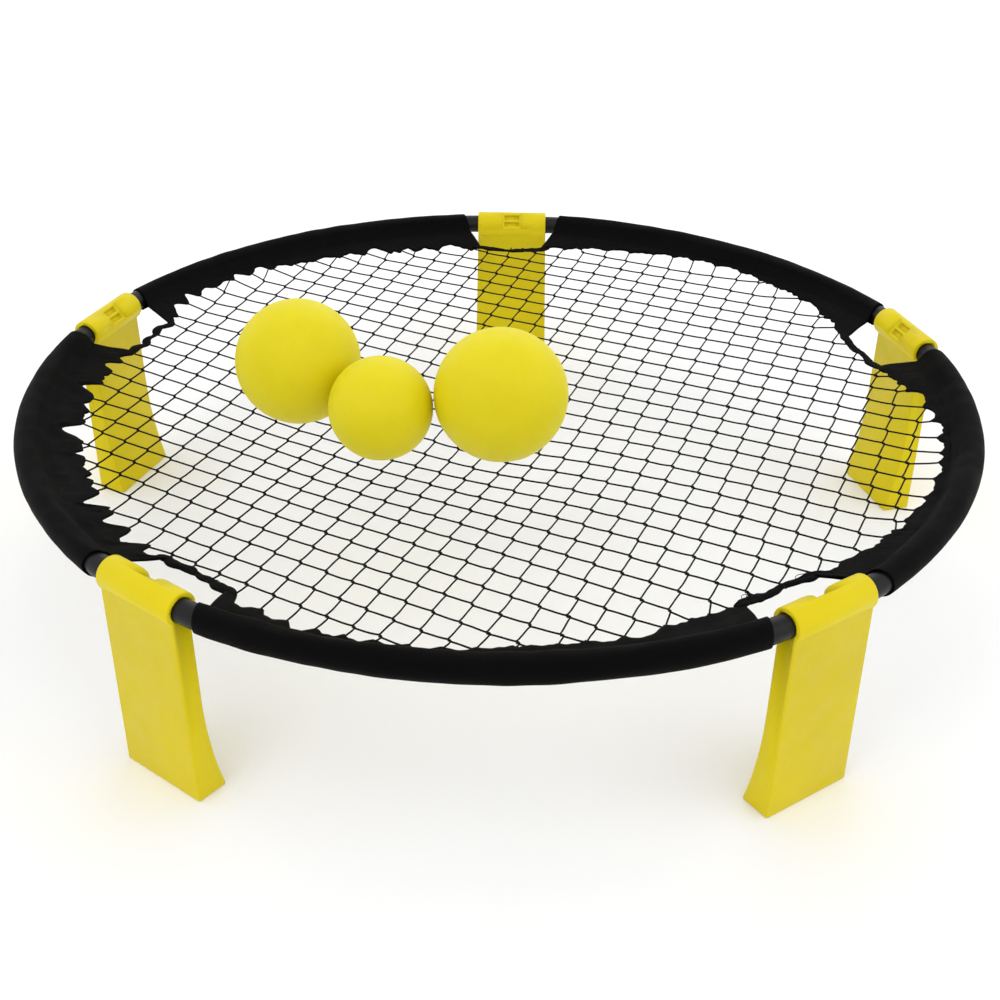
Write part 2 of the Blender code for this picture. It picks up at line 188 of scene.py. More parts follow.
def sweep(lines, radius, sides, flat=1.0):
    """Points and quads of tubes along many lines at once: lines is (tubes, stations, 3).

    radius is one number or one for each station, and flat squeezes the section's height."""
    lines = np.asarray(lines, float)
    tubes, stations, _ = lines.shape
    ahead = np.gradient(lines, axis=1)
    ahead /= np.linalg.norm(ahead, axis=2, keepdims=True) + 1e-12
    across = np.cross(ahead, [0.0, 0.0, 1.0])
    across /= np.linalg.norm(across, axis=2, keepdims=True) + 1e-9
    up = np.cross(across, ahead)
    turn = np.linspace(0, 2 * math.pi, sides, endpoint=False)
    radius = np.broadcast_to(np.asarray(radius, float), (tubes, stations))[:, :, None, None]
    ring = np.cos(turn)[:, None] * across[:, :, None] + flat * np.sin(turn)[:, None] * up[:, :, None]
    points = lines[:, :, None] + radius * ring
    quads = grid_quads(stations, sides, closed_columns=True)
    all_quads = quads[None] + (np.arange(tubes) * stations * sides)[:, None, None]
    length = np.linalg.norm(np.diff(lines, axis=1), axis=2)
    run = np.concatenate([np.zeros((tubes, 1)), np.cumsum(length, axis=1)], axis=1)
    uv = np.stack(
        [
            np.repeat(run[:, :, None], sides, axis=2),
            np.broadcast_to(turn / (2 * math.pi), (tubes, stations, sides)),
        ],
        axis=-1,
    )
    return points.reshape(-1, 3), all_quads.reshape(-1, 4), uv.reshape(-1, 2)


def joined(parts):
    """One set of points, quads and UVs from several."""
    points, quads, uvs, count = [], [], [], 0
    for part_points, part_quads, part_uv in parts:
        points.append(part_points)
        quads.append(part_quads + count)
        uvs.append(part_uv)
        count += len(part_points)
    return np.concatenate(points), np.concatenate(quads), np.concatenate(uvs)


# Materials


class Nodes:
    """Short names for building one node material."""

    def __init__(self, name, colour, roughness, **sockets):
        self.material = bpy.data.materials.new(name)
        self.material.use_nodes = True
        self.tree = self.material.node_tree
        self.shader = self.tree.nodes["Principled BSDF"]
        self.shader.inputs["Base Color"].default_value = (*colour, 1)
        self.shader.inputs["Roughness"].default_value = roughness
        for socket, value in sockets.items():
            self.shader.inputs[socket.replace("_", " ")].default_value = value

    def add(self, kind, inputs=None, **settings):
        node = self.tree.nodes.new(kind)
        for key, value in settings.items():
            setattr(node, key, value)
        for key, value in (inputs or {}).items():
            if isinstance(value, bpy.types.NodeSocket):
                self.tree.links.new(value, node.inputs[key])
            else:
                node.inputs[key].default_value = value
        return node

    def place(self, scale=(1, 1, 1), uv=False):
        """Coordinates in metres, or along the piece's own UV, times scale."""
        coordinates = self.add("ShaderNodeTexCoord").outputs["UV" if uv else "Object"]
        return self.add("ShaderNodeMapping", {"Vector": coordinates, "Scale": scale}).outputs[0]

    def noise(self, at, scale, detail=3.0, rough=0.5):
        inputs = {"Vector": at, "Scale": scale, "Detail": detail, "Roughness": rough}
        return self.add("ShaderNodeTexNoise", inputs).outputs["Fac"]

    def between(self, value, low, high, to_low=0.0, to_high=1.0):
        inputs = {"Value": value, "From Min": low, "From Max": high, "To Min": to_low, "To Max": to_high}
        return self.add("ShaderNodeMapRange", inputs).outputs[0]

    def math(self, operation, first, second=0.0, third=0.0):
        node = self.add("ShaderNodeMath", operation=operation)
        for slot, value in enumerate((first, second, third)):
            if isinstance(value, bpy.types.NodeSocket):
                self.tree.links.new(value, node.inputs[slot])
            else:
                node.inputs[slot].default_value = value
        return node.outputs[0]

    def mix(self, share, first, second):
        node = self.add("ShaderNodeMix", data_type="RGBA")
        for slot, value in ((0, share), (6, first), (7, second)):
            if isinstance(value, bpy.types.NodeSocket):
                self.tree.links.new(value, node.inputs[slot])
            else:
                node.inputs[slot].default_value = (*value, 1) if isinstance(value, tuple) else value
        return node.outputs[2]

    def colour(self, socket):
        self.tree.links.new(socket, self.shader.inputs["Base Color"])

    def roughness(self, socket):
        self.tree.links.new(socket, self.shader.inputs["Roughness"])

    def bump(self, height, distance, strength=1.0, under=None):
        inputs = {"Height": height, "Distance": distance, "Strength": strength}
        if under is not None:
            inputs["Normal"] = under
        normal = self.add("ShaderNodeBump", inputs).outputs[0]
        self.tree.links.new(normal, self.shader.inputs["Normal"])
        return normal


def leg_plastic():
    """Injection-moulded plastic with a fine spark texture, soft cloudiness and a few scuffs."""
    n = Nodes("leg_plastic", (0.66, 0.55, 0.006), 0.40, Specular_IOR_Level=0.16)
    n.shader.inputs["Subsurface Weight"].default_value = 0.2
    n.shader.inputs["Subsurface Radius"].default_value = (0.010, 0.005, 0.0006)
    at = n.place()
    cloud = n.noise(at, 14.0)
    tint = n.mix(n.between(cloud, 0.35, 0.65), (0.66, 0.53, 0.002), (0.69, 0.56, 0.004))
    scuffs = n.noise(n.place((260, 260, 22)), 1.0, 4.0, 0.6)
    worn = n.between(scuffs, 0.62, 0.74)
    n.colour(n.mix(n.math("MULTIPLY", worn, 0.25), tint, (0.72, 0.62, 0.05)))
    n.roughness(n.between(n.noise(at, 45.0), 0.3, 0.7, 0.36, 0.50))
    grain = n.bump(n.noise(at, 1500.0, 2.0), 0.00004, 0.6)
    n.bump(worn, 0.00003, 0.5, under=grain)
    return n.material


def tube_paint():
    """Satin black paint on steel tube, rubbed a little by the sleeves."""
    n = Nodes("tube_paint", (0.007, 0.007, 0.008), 0.34, Specular_IOR_Level=0.22)
    along = n.place((40, 14, 1), uv=True)
    rubbed = n.between(n.noise(along, 3.0, 5.0, 0.65), 0.58, 0.72)
    n.colour(n.mix(rubbed, (0.005, 0.005, 0.006), (0.013, 0.013, 0.014)))
    n.roughness(n.between(n.noise(n.place(), 220.0), 0.3, 0.7, 0.30, 0.46))
    n.bump(n.noise(n.place(), 900.0, 3.0), 0.00005, 0.5)
    return n.material


def woven(name, colour, light, thread):
    """Plain weave of the given thread pitch, from the cloth's own lengths in its UV."""
    n = Nodes(name, colour, 0.66, Sheen_Weight=0.004, Sheen_Roughness=0.5, Specular_IOR_Level=0.045)
    at = n.place(uv=True)
    parts = n.add("ShaderNodeSeparateXYZ", {"Vector": at})
    warp = n.math("SINE", n.math("MULTIPLY", parts.outputs[0], math.pi / thread))
    weft = n.math("SINE", n.math("MULTIPLY", parts.outputs[1], math.pi / thread))
    over = n.math("MULTIPLY", warp, weft)
    yarn = n.math("ADD", n.math("ABSOLUTE", warp), n.math("ABSOLUTE", weft))
    height = n.math("ADD", n.math("MULTIPLY", over, 0.5), n.math("MULTIPLY", yarn, 0.35))
    fuzz = n.noise(at, 900.0, 4.0, 0.7)
    patch = n.noise(n.place(), 26.0, 4.0, 0.6)
    shade = n.math("ADD", n.math("MULTIPLY", fuzz, 0.5), n.math("MULTIPLY", patch, 0.5))
    n.colour(n.mix(n.between(shade, 0.35, 0.68), colour, light))
    n.roughness(n.between(patch, 0.3, 0.7, 0.56, 0.74))
    weave = n.bump(height, 0.00022, 0.8)
    n.bump(fuzz, 0.0001, 0.4, under=weave)
    return n.material


def twisted_cord():
    """Three-strand twist for the net's twine, from its length and the angle round it."""
    n = Nodes("net_twine", (0.004, 0.004, 0.004), 0.75, Specular_IOR_Level=0.12)
    parts = n.add("ShaderNodeSeparateXYZ", {"Vector": n.place(uv=True)})
    turns = n.math("MULTIPLY", parts.outputs[0], 1 / 0.0034)
    phase = n.math("MULTIPLY", n.math("ADD", turns, parts.outputs[1]), 6 * math.pi)
    strands = n.math("ABSOLUTE", n.math("SINE", phase))
    fibres = n.noise(n.place(), 2600.0, 3.0, 0.7)
    # The colour is darker in the grooves between the strands and lighter on their crowns, which is painted
    # shade and painted highlight along the lay. It is mixed with the fibres' own random tone.
    n.colour(n.mix(n.math("MULTIPLY", strands, fibres), (0.002, 0.002, 0.002), (0.010, 0.010, 0.010)))
    laid = n.bump(strands, 0.00025, 0.9)
    n.bump(fibres, 0.00008, 0.5, under=laid)
    return n.material


def ball_vinyl():
    """Soft inflated vinyl with a fine grain and faint blooms."""
    n = Nodes("ball_vinyl", (0.70, 0.60, 0.010), 0.45, Specular_IOR_Level=0.18)
    n.shader.inputs["Subsurface Weight"].default_value = 0.8
    n.shader.inputs["Subsurface Radius"].default_value = (0.030, 0.015, 0.0015)
    at = n.place()
    bloom = n.noise(at, 22.0, 4.0, 0.6)
    n.colour(n.mix(n.between(bloom, 0.35, 0.65), (0.70, 0.60, 0.006), (0.73, 0.63, 0.010)))
    n.roughness(n.between(n.noise(at, 60.0), 0.3, 0.7, 0.42, 0.56))
    n.bump(n.noise(at, 1100.0, 2.0), 0.00005, 0.5)
    return n.material


def valve_rubber():
    n = Nodes("valve_rubber", (0.62, 0.50, 0.03), 0.6)
    at = n.place()
    n.colour(n.mix(n.noise(at, 400.0), (0.56, 0.45, 0.02), (0.68, 0.56, 0.05)))
    n.roughness(n.between(n.noise(at, 300.0), 0.3, 0.7, 0.5, 0.7))
    n.bump(n.noise(at, 1600.0, 3.0), 0.00006, 0.6)
    return n.material


# Rim


def leg_angle(index):
    return FIRST_LEG + 2 * HALF_SECTOR * index


def rim_at(length):
    """Point of a tube's centreline and its outward heading, with mid-tube on +X."""
    side, run = math.copysign(1.0, length), abs(length)
    heading = min(run, ARC_HALF) / ARC_RADIUS
    point = np.array([RING_RADIUS - ARC_RADIUS, 0, 0]) + ARC_RADIUS * unit(heading)
    if run > ARC_HALF:
        centre = point - BEND_RADIUS * unit(heading)
        heading += min(run - ARC_HALF, BEND_LENGTH) / BEND_RADIUS
        point = centre + BEND_RADIUS * unit(heading)
    straight = max(0.0, run - ARC_HALF - BEND_LENGTH)
    point = point + straight * np.array([-math.sin(heading), math.cos(heading), 0])
    point[1] *= side
    return point, side * heading


def turned(point, angle):
    c, s = math.cos(angle), math.sin(angle)
    return np.array([c * point[0] - s * point[1], s * point[0] + c * point[1], point[2]])


def make_tube(index, paint):
    middle = leg_angle(index) + HALF_SECTOR
    reach = RIM_HALF - SOCKET_FLOOR
    turn = np.linspace(0, 2 * math.pi, TUBE_SIDES, endpoint=False)
    rings = []
    for length in np.linspace(-reach, reach, TUBE_STATIONS):
        centre, heading = rim_at(length)
        centre = turned(centre, middle) + np.array([0, 0, RIM_HEIGHT])
        outward = unit(middle + heading)
        for radius in (TUBE_RADIUS, TUBE_RADIUS - TUBE_WALL):
            rings.append(
                centre
                + radius * np.cos(turn)[:, None] * outward
                + radius * np.sin(turn)[:, None] * np.array([0, 0, 1])
            )
    rings = np.array(rings).reshape(TUBE_STATIONS, 2, TUBE_SIDES, 3)
    # The section runs along the outside and back through the bore, so each tube is one closed skin.
    skin = np.concatenate([rings[:, 0], rings[::-1, 1]])
    quads = grid_quads(2 * TUBE_STATIONS, TUBE_SIDES, closed_rows=True, closed_columns=True)
    run = np.concatenate([np.linspace(-reach, reach, TUBE_STATIONS)] * 2)
    uv = np.stack(np.broadcast_arrays(run[:, None], np.arange(TUBE_SIDES)[None] / TUBE_SIDES), -1)
    mesh = mesh_of("tube", skin.reshape(-1, 3), quads, uv.reshape(-1, 2))
    tube = link(f"tube_{index + 1}", mesh, paint)
    tube.data.set_sharp_from_angle(angle=math.radians(40))
    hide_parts(f"rim_tube_{index + 1}")
    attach(tube, "rim_and_net")


# Balls


def fitted_sphere(node):
    """Centre and radius of the sphere through a ball node's outer points."""
    points = np.array([v.co for v in frame["nodes"][node].data.vertices])
    middle = (points.min(0) + points.max(0)) / 2
    away = np.linalg.norm(points - middle, axis=1)
    outer = points[away > away.max() - 0.0006]
    rows = np.concatenate([2 * outer, np.ones((len(outer), 1))], axis=1)
    solved = np.linalg.lstsq(rows, (outer**2).sum(1), rcond=None)[0]
    centre = solved[:3]
    return centre, math.sqrt(solved[3] + centre @ centre)


BALLS = {name: fitted_sphere(f"ball_{name}") for name in ("left", "middle", "right")}


def make_ball(name, vinyl):
    """Blown vinyl ball: a fine sphere with a parting seam and a dimple round its valve."""
    centre, radius = BALLS[name]
    low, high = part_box(f"ball_valve_{name}")
    aim = Vector((low + high) / 2) - Vector(centre)
    aim.normalize()
    mesh = bpy.data.meshes.new(f"ball_{name}")
    rings, sides = 64, 96
    tilt = np.linspace(0, math.pi, rings + 1)[1:-1]
    turn = np.linspace(0, 2 * math.pi, sides, endpoint=False)
    tilt, turn = np.meshgrid(tilt, turn, indexing="ij")
    # The poles lie across the valve, so that the seam's great circle passes through it.
    side = aim.orthogonal().normalized()
    third = aim.cross(side)
    basis = np.array([aim, third, side])
    direction = np.stack([np.sin(tilt) * np.cos(turn), np.sin(tilt) * np.sin(turn), np.cos(tilt)], -1)
    direction = direction @ basis
    seam = np.exp(-(((tilt - math.pi / 2) * radius / BALL_SEAM_WIDTH) ** 2))
    off_valve = np.arccos(np.clip(direction @ np.array(aim), -1, 1)) * radius
    dimple = np.exp(-((off_valve / BALL_DIMPLE_RADIUS) ** 4))
    depth = radius + BALL_SEAM_HEIGHT * seam - BALL_DIMPLE_DEPTH * dimple
    points = np.array(centre) + direction * depth[..., None]
    poles = [np.array(centre) + np.array(side) * radius, np.array(centre) - np.array(side) * radius]
    points = np.concatenate([points.reshape(-1, 3), poles])
    quads = grid_quads(rings - 1, sides, closed_columns=True).tolist()
    top, bottom = len(points) - 2, len(points) - 1
    first_of_last = (rings - 2) * sides
    for i in range(sides):
        quads.append((top, (i + 1) % sides, i))
        quads.append((bottom, first_of_last + i, first_of_last + (i + 1) % sides))
    mesh.from_pydata(points.tolist(), [], quads)
    mesh.update()
    ball = link(f"vinyl_{name}", mesh, vinyl)
    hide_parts(f"ball_{name}")
    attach(ball, f"ball_{name}")


# Net


def net_height(x, y):
    """Height of the sagging net, the same membrane as the CAD solid."""
    total = sum(radius**2 for _, radius in BALLS.values())
    soft, edge, dip = NET_SOFTENING**2, NET_EDGE**2, 0.0
    for (ball_x, ball_y, _), radius in BALLS.values():
        near = (x - ball_x) ** 2 + (y - ball_y) ** 2 + soft
        far = edge - 2 * (ball_x * x + ball_y * y)
        far = far + (ball_x**2 + ball_y**2) * (x**2 + y**2) / edge + soft
        dip = dip + radius**2 / total * np.log(far / near) / 2
    out = np.hypot(x, y)
    return np.where(out < NET_EDGE, NET_HEIGHT - NET_SAG * dip, edge_height(out))


def edge_height(radius):
    """Height of the taut cloth between the net's edge and the tube's middle."""
    past = np.maximum(radius - NET_EDGE, 0)
    return NET_HEIGHT + (RIM_HEIGHT - NET_HEIGHT) * past / (RING_RADIUS - NET_EDGE)


def cloth_radius(angle):
    """Radius that strands reach at an azimuth: NET_EDGE at the straps, and more along the sleeves."""
    sector = np.mod(angle - FIRST_LEG, 2 * math.pi) / (2 * HALF_SECTOR)
    index = np.floor(sector).astype(int) % LEG_COUNT
    share = ((sector % 1) * 2 - 1) * HALF_SECTOR / (HALF_SECTOR - STRAP_HALF)
    rise, lean, power = np.array(SLEEVE_BAYS)[index].T
    share = np.clip(share, -1, 1)
    share = (share - lean) / (1 - lean * share)
    return NET_EDGE + rise * (1 - share**2) ** power


def knot_place(a, b):
    """Plan position of knot (a, b) before the edges pull on it."""
    x = MESH_ORIGIN[0] + a * MESH_FIRST[0] + b * MESH_SECOND[0]
    y = MESH_ORIGIN[1] + a * MESH_FIRST[1] + b * MESH_SECOND[1]
    bow = [(c[0] * a * a / 2 + c[1] * a * b + c[2] * b * b / 2) / 1000 for c in MESH_BOW]
    return np.array([x + bow[0], y + bow[1]])


def beyond(place):
    """How far a plan position lies outside the cloth's inner edge."""
    return np.hypot(*place) - float(cloth_radius(math.atan2(place[1], place[0])))


def make_lattice():
    """Knots inside the edge, the anchors where strands meet it, and the bars between them.

    Returns plan positions, how many of them are knots, and bars as pairs of their numbers."""
    reach = range(-24, 25)
    inside = -0.003
    number, places = {}, []
    for a in reach:
        for b in reach:
            place = knot_place(a, b)
            if beyond(place) < inside:
                number[a, b] = len(places)
                places.append(place)
    knots, bars, anchors = len(places), [], []
    for (a, b), one in number.items():
        for family, (da, db) in enumerate(((1, 0), (0, 1), (-1, 0), (0, -1))):
            other = number.get((a + da, b + db))
            if other is not None:
                if family < 2:
                    bars.append((one, other, family))
                continue
            start, step = places[one], knot_place(a + da, b + db) - places[one]
            run, stride = 0.0, 0.5
            while stride > 1e-4:
                if beyond(start + step * (run + stride)) < 0:
                    run += stride
                else:
                    stride /= 2
            bars.append((one, knots + len(anchors), family % 2))
            anchors.append(start + step * run)
    return np.array(places + anchors), knots, bars


def gathered_ends(angles):
    """Each strand end's azimuth once neighbours share a hole, and the azimuths of the holes."""
    order = np.argsort(angles)
    groups = [[order[0]]]
    for one in order[1:]:
        if (angles[one] - angles[groups[-1][0]]) * NET_EDGE < SHARED_HOLE:
            groups[-1].append(one)
        else:
            groups.append([one])
    shared = angles.copy()
    for group in groups:
        shared[group] = angles[group].mean()
    return shared, np.array([angles[group].mean() for group in groups])


def relaxed(places, knots, bars, angle):
    """Lets every strand pull straight after its ends have slipped along the edge."""
    radius = cloth_radius(angle)
    pairs = np.array([bar[:2] for bar in bars])
    length = np.linalg.norm(places[pairs[:, 0]] - places[pairs[:, 1]], axis=1)
    weight = 1 / np.maximum(length, 0.004)
    target = np.stack([radius * np.cos(angle), radius * np.sin(angle)], 1)
    pull = np.zeros((len(places), 2))
    moved = np.zeros_like(places)
    moved[knots:] = target - places[knots:]
    share = np.zeros(len(places))
    np.add.at(share, pairs[:, 0], weight)
    np.add.at(share, pairs[:, 1], weight)
    for _ in range(RELAX_STEPS):
        pull[:] = 0
        np.add.at(pull, pairs[:, 0], weight[:, None] * moved[pairs[:, 1]])
        np.add.at(pull, pairs[:, 1], weight[:, None] * moved[pairs[:, 0]])
        moved[:knots] = (pull / share[:, None])[:knots]
    return places + moved


def raised(plan):
    return np.concatenate([plan, net_height(plan[:, 0], plan[:, 1])[:, None]], axis=1)


def knot_mesh():
    """A small overhand knot of twine round the origin, drawn out along X."""
    t = np.linspace(0, 2 * math.pi, 16)
    x = 0.62 * (np.sin(t) + 2 * np.sin(2 * t)) / 3
    y = 0.20 * (np.cos(t) - 2 * np.cos(2 * t)) / 3
    z = -0.20 * np.sin(3 * t)
    return sweep(KNOT_LENGTH * np.stack([x, y, z], 1)[None], CORD_RADIUS * 0.9, 5)


def make_net(lattice, twine):
    places, knots, bars = lattice
    points = raised(places)
    points[knots:, :2] *= 1 + END_TUCK / NET_EDGE
    points[knots:, 2] = edge_height(np.hypot(*points[knots:, :2].T))
    rng = np.random.default_rng(5)
    lean = KNOT_ANGLE + rng.normal(0, math.radians(9), len(points))
    half = np.full(len(points), KNOT_LENGTH / 2)
    half[knots:] = 0
    ends = np.stack([np.cos(lean), np.sin(lean), np.zeros(len(points))], 1) * half[:, None]
    # First-family bars leave a knot at its lower end and second-family bars at its upper end.
    stations = np.linspace(0, 1, 6)
    lines = []
    for one, other, family in bars:
        way = points[other] - points[one]
        forward = (way @ np.array([*((MESH_FIRST, MESH_SECOND)[family]), 0])) > 0
        sign = (1 if family == 0 else -1) * (1 if forward else -1)
        start, stop = points[one] + sign * ends[one], points[other] - sign * ends[other]
        span = stop - start
        length = np.linalg.norm(span)
        across = np.array([-span[1], span[0], 0]) / (length + 1e-9)
        bow = rng.normal(0, 0.00028) * min(1.0, length / 0.02)
        curl = sign * 0.00015 * min(1.0, length / 0.02)
        droop = 0.0002 * min(1.0, length / 0.02)
        line = start + span * stations[:, None]
        line += np.sin(math.pi * stations)[:, None] * (bow * across - np.array([0, 0, droop]))
        line += np.sin(2 * math.pi * stations)[:, None] * curl * across
        lines.append(line)
    parts = [sweep(np.array(lines), CORD_RADIUS, 6)]
    base, base_quads, base_uv = knot_mesh()
    c, s = np.cos(lean[:knots]), np.sin(lean[:knots])
    zero = np.zeros(knots)
    turn = np.stack([c, -s, zero, s, c, zero, zero, zero, zero + 1], 1).reshape(-1, 3, 3)
    size = rng.uniform(0.92, 1.12, knots)[:, None, None]
    all_points = np.einsum("kij,pj->kpi", turn, base) * size + points[:knots, None]
    all_quads = base_quads[None] + (np.arange(knots) * len(base))[:, None, None]
    parts.append((all_points.reshape(-1, 3), all_quads.reshape(-1, 4), np.tile(base_uv, (knots, 1))))
    net = link("knotted_net", mesh_of("knotted_net", *joined(parts)), twine)
    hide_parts("net")
    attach(net, "rim_and_net")


# Edge of the cloth, shared by the sleeves and the straps


def scallop_depth(angle):
    """How far the cloth draws back between strands, as a share of the gap between them."""
    back = max(0.0, math.sin(angle))
    return 0.30 + 0.30 * west_share(angle) - 0.14 * back


def west_share(angle):
    """1 on the -X side, where the cloth hangs in full lobes, and 0 on the other."""
    return max(0.0, -math.cos(angle)) ** 0.7


def edge_profile(holes):
    """The cloth's inner radius as a function of azimuth, with a point at each hole."""
    kept = np.sort(np.mod(holes, 2 * math.pi))
    nibble = waves(21, 9, 120, 330)
    rng = np.random.default_rng(23)
    size, lean = rng.uniform(0.45, 1.35, len(kept)), rng.uniform(-0.16, 0.16, len(kept))
    full = rng.uniform(0, 1, len(kept)) < CLOSED_GAPS

    def radius(angle):
        angle = angle % (2 * math.pi)
        index = np.searchsorted(kept, angle) % len(kept)
        after, before = kept[index], kept[index - 1]
        gap = (after - before) % (2 * math.pi)
        share = ((angle - before) % (2 * math.pi)) / gap
        edge = float(cloth_radius(angle))
        depth = min(size[index] * scallop_depth(angle) * gap * NET_EDGE, DEEPEST_EDGE - edge)
        west = west_share(angle)
        depth = min(depth, DEEPEST_BAY) * (1 - 0.7 * west * full[index])
        share = share + lean[index] * 4 * share * (1 - share)
        bay = (4 * share * (1 - share)) ** (0.62 + 1.5 * west)
        return edge - 0.0006 + depth * bay + 0.0005 * float(wave(nibble, angle))

    return radius


def sleeve_section(centre, edge, around, pinch):
    """Closed loop of one cloth section, from the inner edge over the tube and back under it.

    around holds the wrinkle at each of its points, and pinch is 0 at a strand and 1 between."""
    inward = edge - centre
    drop, level = inward[2], np.hypot(inward[0], inward[1])
    q = np.array([inward[0] / level, inward[1] / level, 0])
    up = np.array([0, 0, 1.0])
    tilt = math.atan2(drop, level)
    span = math.hypot(drop, level)
    e = math.cos(tilt) * q + math.sin(tilt) * up
    n = -math.sin(tilt) * q + math.cos(tilt) * up
    meet = math.acos(CASING / SEAM)
    apart = 0.0006
    flat = np.linspace(0, 1, BAND_POINTS)  # from the hem to the seam
    bulge = apart + 0.0005 * np.sin(math.pi * flat) * pinch
    away = span + (SEAM - span) * flat
    top = [e * d + n * b for d, b in zip(away, bulge)]
    turn = np.linspace(meet, 2 * math.pi - meet, ROUND_POINTS)
    round_tube = [CASING * (math.cos(t) * e + math.sin(t) * n) for t in turn]
    bottom = [e * d - n * b for d, b in zip(away[::-1], bulge[::-1])]
    lip = [e * (span + 0.0005)]
    points = np.array(top + round_tube + bottom + lip)
    off_tube = [math.cos(t) * e + math.sin(t) * n for t in turn]
    out = np.concatenate([[n] * BAND_POINTS, off_tube, [-n] * BAND_POINTS, [e]])
    return centre + points + out * around[:, None]


def make_sleeve(index, radius_at, cloth, thread):
    middle = leg_angle(index) + HALF_SECTOR
    last = rim_at(SLEEVE_HALF)[0]
    reach = (HALF_SECTOR - STRAP_HALF) / math.atan2(last[1], last[0])
    size = 2 * BAND_POINTS + ROUND_POINTS + 1
    along_fold, cross_fold = waves(31 + index, 7, 9, 60), waves(41 + index, 9, 60, 240)
    ring = np.arange(size) / size * 2 * math.pi
    rise = np.linspace(0, 1, BAND_POINTS)
    body = np.concatenate([rise, np.ones(ROUND_POINTS), np.linspace(1, 0, BAND_POINTS), [0]])
    inner = np.abs(np.cos(ring / 2))  # 1 near the band, 0 on the outside of the tube
    rows, uv = [], []
    for length in np.linspace(-SLEEVE_HALF, SLEEVE_HALF, SLEEVE_STATIONS):
        centre, _ = rim_at(length)
        azimuth = math.atan2(centre[1], centre[0]) * reach + middle
        centre = turned(centre, middle) + np.array([0, 0, RIM_HEIGHT])
        radius = radius_at(azimuth)
        edge = radius * unit(azimuth)
        edge[2] = edge_height(radius)
        bay = min(1.0, max(0.0, (radius - float(cloth_radius(azimuth))) / 0.006))
        folds = 0.00030 * wave(along_fold, length, shift=ring) * (0.35 + 0.65 * inner)
        gathers = 0.00028 * wave(cross_fold, length) * inner * body
        rows.append(sleeve_section(centre, edge, folds + gathers, bay))
        uv.append(np.stack([np.full(size, length), np.arange(size) * 0.0026], 1))
    rows = np.array(rows)
    quads = grid_quads(SLEEVE_STATIONS, size, closed_columns=True)
    mesh = mesh_of("cloth_sleeve", rows.reshape(-1, 3), quads, np.array(uv).reshape(-1, 2))
    sleeve = link(f"cloth_sleeve_{index + 1}", mesh, cloth)
    shell = sleeve.modifiers.new("cloth thickness", "SOLIDIFY")
    shell.thickness = CLOTH
    shell.offset = 0
    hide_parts(f"sleeve_{index + 1}")
    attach(sleeve, "rim_and_net")
    make_stitches(index, rows, thread)


def make_stitches(index, rows, thread):
    """Two rows of lock stitches on each face of the band: at the casing's seam and along the hem."""
    lines = []
    under = BAND_POINTS + ROUND_POINTS
    for column in (BAND_POINTS - 1, HEM_POINT, under, under + BAND_POINTS - 1 - HEM_POINT):
        path = rows[:, column]
        face = 1 if column < BAND_POINTS else -1
        run = np.concatenate([[0], np.cumsum(np.linalg.norm(np.diff(path, axis=0), axis=1))])
        starts = np.arange(0.004, run[-1] - 0.006, STITCH_PITCH)
        share = np.linspace(0, 1, 5)
        at = starts[:, None] + STITCH_LENGTH * share[None]
        line = np.stack([np.interp(at, run, path[:, axis]) for axis in range(3)], -1)
        rise = CLOTH / 2 + 0.00016 * np.sin(math.pi * share) - 0.00008
        line[:, :, 2] += face * rise[None]
        lines.append(line)
    points, quads, uv = sweep(np.concatenate(lines), STITCH_RADIUS, 6)
    stitches = link(f"sleeve_stitching_{index + 1}", mesh_of("stitching", points, quads, uv), thread)
    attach(stitches, "rim_and_net")


def make_strap(index, radius_at, cloth):
    """Rolled hem that spans a leg's window and runs on under both sleeves, a little uneven."""
    middle = leg_angle(index)
    share = np.linspace(-1, 1, STRAP_STATIONS)
    angle = middle + share * (STRAP_HALF + STRAP_OVERLAP)
    wobble, width, roll = (
        waves(seed + index, 6, low, high) for seed, low, high in ((51, 2, 9), (61, 4, 17), (71, 2, 6))
    )
    pulled = np.array([radius_at(a) for a in angle]) - NET_EDGE
    spread = np.abs(share) ** 1.6
    under_sleeve = cloth_radius(angle) - NET_EDGE
    radius = NET_EDGE - 0.0005 + 0.0045 * spread + 0.25 * pulled + 0.75 * under_sleeve
    radius += 0.0006 * wave(wobble, share)
    height = edge_height(radius) + 0.0006 * wave(roll, share)
    line = np.stack([radius * np.cos(angle), radius * np.sin(angle), height], 1)
    half = 0.0038 + 0.0022 * spread + 0.0005 * wave(width, share)
    # Both ends round off where they run on under the sleeves.
    tucked = STRAP_OVERLAP / (STRAP_HALF + STRAP_OVERLAP)
    half *= np.sqrt(np.clip((1 - np.abs(share)) / tucked, 0.0004, 1))
    points, quads, uv = sweep(line[None], half, STRAP_SIDES, flat=0.28)
    ridge = waves(81 + index, 8, 4, 24)
    turn = uv[:, 1] * 2 * math.pi
    points[:, 2] += 0.0002 * wave(ridge, uv[:, 0] * 10, shift=turn)
    uv[:, 1] *= STRAP_CLOTH
    strap = link(f"cloth_strap_{index + 1}", mesh_of("cloth_strap", points, quads, uv), cloth)
    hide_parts(f"edge_strap_{index + 1}")
    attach(strap, "rim_and_net")


